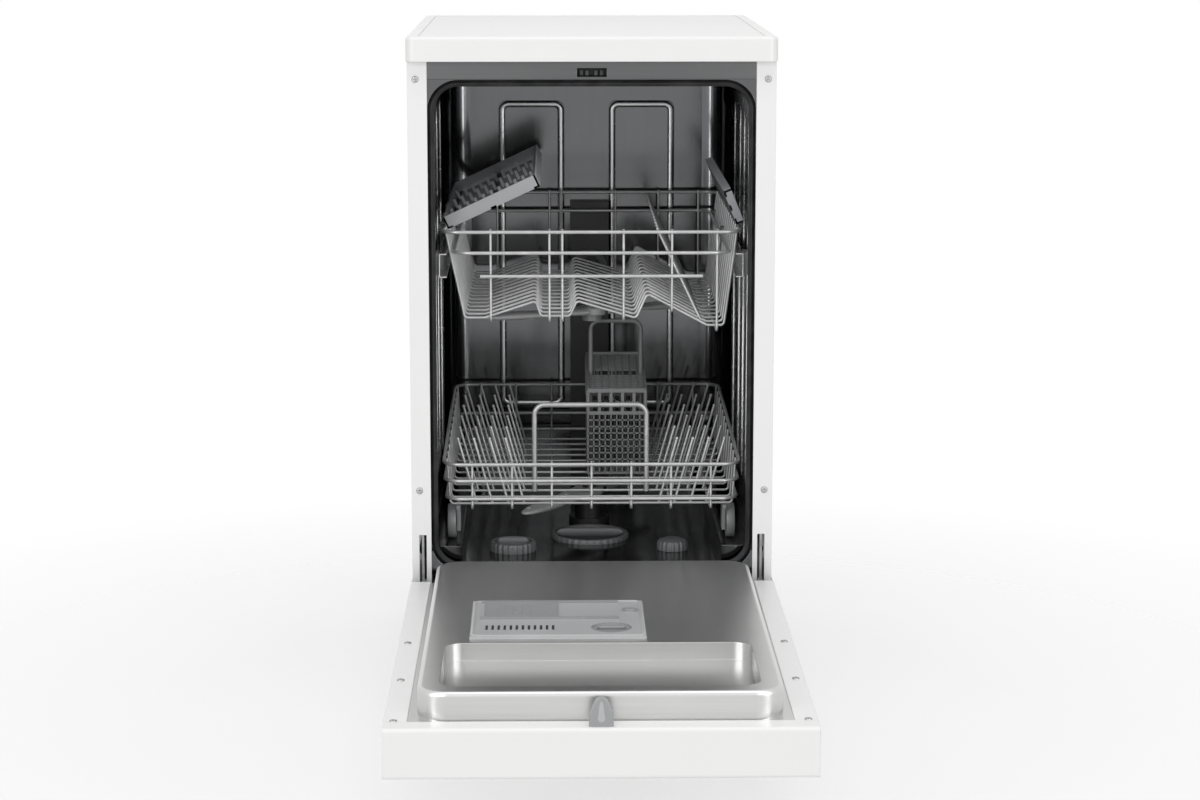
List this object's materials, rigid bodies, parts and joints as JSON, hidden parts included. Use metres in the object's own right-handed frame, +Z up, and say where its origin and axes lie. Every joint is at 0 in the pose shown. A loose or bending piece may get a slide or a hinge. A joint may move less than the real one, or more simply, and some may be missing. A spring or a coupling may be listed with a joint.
{
  "type": "slimline dishwasher",
  "caption": "Free-standing slimline dishwasher with a drop-down door, stainless tub, sliding wire racks, cup shelves, cutlery basket and spray arms.",
  "frame": {"origin": "on the floor, in the middle of the box of the machine with its door open", "axes": "+Z up, +Y towards the back of the machine, +X to the right seen from the front"},
  "size_m": [0.45, 1.238, 0.85],
  "materials": {
    "white_enamel": "smooth white enamelled sheet",
    "white_plastic": "satin white moulding",
    "white_laminate": "fine-grained white laminate",
    "galvanised": "zinc-grey sheet",
    "stainless": "bright brushed stainless sheet",
    "steel_screw": "plated",
    "seal_rubber": "matt black rubber",
    "black_plastic": "matt black moulding",
    "grey_plastic": "grained grey moulding",
    "dark_grey_plastic": "grained dark grey moulding",
    "light_grey_plastic": "pale grey moulding",
    "rack_wire": "grey nylon coat on steel wire",
    "window_plastic": "smoked clear plastic",
    "filter_steel": "fine stainless mesh",
    "foot_plastic": "black moulding"
  },
  "bodies": {
    "cabinet": {"worktop_surround": "white_plastic", "worktop_panel": "white_laminate", "side_panel_left": "white_enamel", "side_panel_right": "white_enamel", "back_panel": "galvanised", "base_tray": "dark_grey_plastic", "plinth": "white_enamel", "levelling_feet": "foot_plastic", "front_crossmember": "galvanised", "latch_housing": "black_plastic", "tub_shell": "stainless", "door_seal": "seal_rubber", "hinge_brackets": "galvanised", "counterbalance_springs": "galvanised", "frame_screws": "steel_screw", "slide_guides": "light_grey_plastic", "spray_conduit": "black_plastic", "sump": "black_plastic", "softener_tank": "light_grey_plastic", "heating_pump": "black_plastic", "drain_pump": "black_plastic", "inlet_valve": "light_grey_plastic", "drain_outlet": "black_plastic", "terminal_box": "black_plastic"},
    "door": {"hinge_arms": "galvanised", "door_outer_skin": "white_enamel", "door_inner_pan": "stainless", "control_panel": "white_plastic", "control_end_caps": "white_plastic", "handle_cup": "grey_plastic", "indicator_window": "window_plastic", "control_board": "black_plastic", "dispenser_body": "light_grey_plastic", "latch_striker": "grey_plastic", "door_screws": "steel_screw"},
    "upper_rack": {"upper_rack_floor": "rack_wire", "upper_rack_frame": "rack_wire", "roller_carriers": "grey_plastic", "upper_spray_feed": "grey_plastic"},
    "lower_rack": {"lower_rack_floor": "rack_wire", "lower_rack_frame": "rack_wire", "wheel_carriers": "grey_plastic", "cutlery_basket": "dark_grey_plastic"},
    "power_button": {"power_button": "white_plastic"},
    "program_button": {"program_button": "white_plastic"},
    "start_button": {"start_button": "white_plastic"},
    "dispenser_lid": {"dispenser_lid": "light_grey_plastic"},
    "rinse_aid_cap": {"rinse_aid_cap": "grey_plastic"},
    "upper_slides": {"upper_slides": "stainless"},
    "upper_front_rollers": {"upper_front_rollers": "grey_plastic"},
    "upper_rear_rollers": {"upper_rear_rollers": "grey_plastic"},
    "cup_shelf_left": {"cup_shelf_left": "grey_plastic"},
    "cup_shelf_right": {"cup_shelf_right": "grey_plastic"},
    "upper_spray_arm": {"upper_spray_arm": "light_grey_plastic"},
    "lower_front_wheels": {"lower_front_wheels": "grey_plastic"},
    "lower_rear_wheels": {"lower_rear_wheels": "grey_plastic"},
    "lower_spray_arm": {"lower_spray_arm": "light_grey_plastic"},
    "filter_cup": {"filter_cup": "grey_plastic"},
    "salt_cap": {"salt_cap": "grey_plastic"},
    "overfill_float": {"overfill_float": "grey_plastic"}
  },
  "joints": [
    {"name": "door_hinge", "type": "hinge", "parent": "cabinet", "child": "door", "pos_m": [0, 0.0295, 0.1665], "axis": [-1, 0, 0], "range_deg": [0, 90]},
    {"name": "upper_rack_slide", "type": "slide", "parent": "cabinet", "child": "upper_rack", "axis": [0, 1, 0], "range_m": [-0.4, 0]},
    {"name": "upper_telescope_slide", "type": "slide", "parent": "cabinet", "child": "upper_slides", "axis": [0, 1, 0], "range_m": [-0.2, 0]},
    {"name": "upper_front_roller_spin", "type": "hinge", "parent": "upper_rack", "child": "upper_front_rollers", "pos_m": [0, 0.3275, 0.564], "axis": [-1, 0, 0], "continuous": true},
    {"name": "upper_rear_roller_spin", "type": "hinge", "parent": "upper_rack", "child": "upper_rear_rollers", "pos_m": [0, 0.5255, 0.564], "axis": [-1, 0, 0], "continuous": true},
    {"name": "cup_shelf_left_fold", "type": "hinge", "parent": "upper_rack", "child": "cup_shelf_left", "pos_m": [-0.186, 0.329, 0.607], "axis": [0, -1, 0], "range_deg": [-25, 55]},
    {"name": "cup_shelf_right_fold", "type": "hinge", "parent": "upper_rack", "child": "cup_shelf_right", "pos_m": [0.186, 0.329, 0.607], "axis": [0, 1, 0], "range_deg": [-68, 12]},
    {"name": "upper_spray_spin", "type": "hinge", "parent": "upper_rack", "child": "upper_spray_arm", "pos_m": [0.004, 0.339, 0.473], "axis": [0, 0, 1], "continuous": true},
    {"name": "lower_rack_slide", "type": "slide", "parent": "cabinet", "child": "lower_rack", "axis": [0, 1, 0], "range_m": [-0.46, 0]},
    {"name": "lower_front_wheel_spin", "type": "hinge", "parent": "lower_rack", "child": "lower_front_wheels", "pos_m": [0, 0.129, 0.234], "axis": [-1, 0, 0], "continuous": true},
    {"name": "lower_rear_wheel_spin", "type": "hinge", "parent": "lower_rack", "child": "lower_rear_wheels", "pos_m": [0, 0.544, 0.234], "axis": [-1, 0, 0], "continuous": true},
    {"name": "lower_spray_spin", "type": "hinge", "parent": "cabinet", "child": "lower_spray_arm", "pos_m": [0, 0.339, 0.229], "axis": [0, 0, 1], "continuous": true},
    {"name": "dispenser_lid_slide", "type": "slide", "parent": "door", "child": "dispenser_lid", "axis": [1, 0, 0], "range_m": [0, 0.066]},
    {"name": "rinse_aid_cap_turn", "type": "hinge", "parent": "door", "child": "rinse_aid_cap", "pos_m": [0.016, -0.34, 0.213], "axis": [0, 0, 1], "range_deg": [0, 90]},
    {"name": "filter_turn", "type": "hinge", "parent": "cabinet", "child": "filter_cup", "pos_m": [0, 0.244, 0.17], "axis": [0, 0, 1], "range_deg": [0, 90]},
    {"name": "salt_cap_turn", "type": "hinge", "parent": "cabinet", "child": "salt_cap", "pos_m": [-0.1, 0.169, 0.192], "axis": [0, 0, 1], "continuous": true},
    {"name": "float_rise", "type": "slide", "parent": "cabinet", "child": "overfill_float", "axis": [0, 0, 1], "range_m": [0, 0.008]},
    {"name": "power_button_press", "type": "slide", "parent": "door", "child": "power_button", "axis": [0, 0, 1], "range_m": [0, 0.002], "stiffness_N_per_m": 400, "springref_m": -0.002},
    {"name": "program_button_press", "type": "slide", "parent": "door", "child": "program_button", "axis": [0, 0, 1], "range_m": [0, 0.002], "stiffness_N_per_m": 400, "springref_m": -0.002},
    {"name": "start_button_press", "type": "slide", "parent": "door", "child": "start_button", "axis": [0, 0, 1], "range_m": [0, 0.002], "stiffness_N_per_m": 400, "springref_m": -0.002}
  ],
  "couplings": [
    {"joint": "upper_telescope_slide", "follows": "upper_rack_slide", "ratio": 0.5},
    {"joint": "upper_front_roller_spin", "follows": "upper_rack_slide", "rad_per_m": 37.879},
    {"joint": "upper_rear_roller_spin", "follows": "upper_rack_slide", "rad_per_m": 37.879},
    {"joint": "lower_front_wheel_spin", "follows": "lower_rack_slide", "rad_per_m": 46.083},
    {"joint": "lower_rear_wheel_spin", "follows": "lower_rack_slide", "rad_per_m": 46.083}
  ]
}
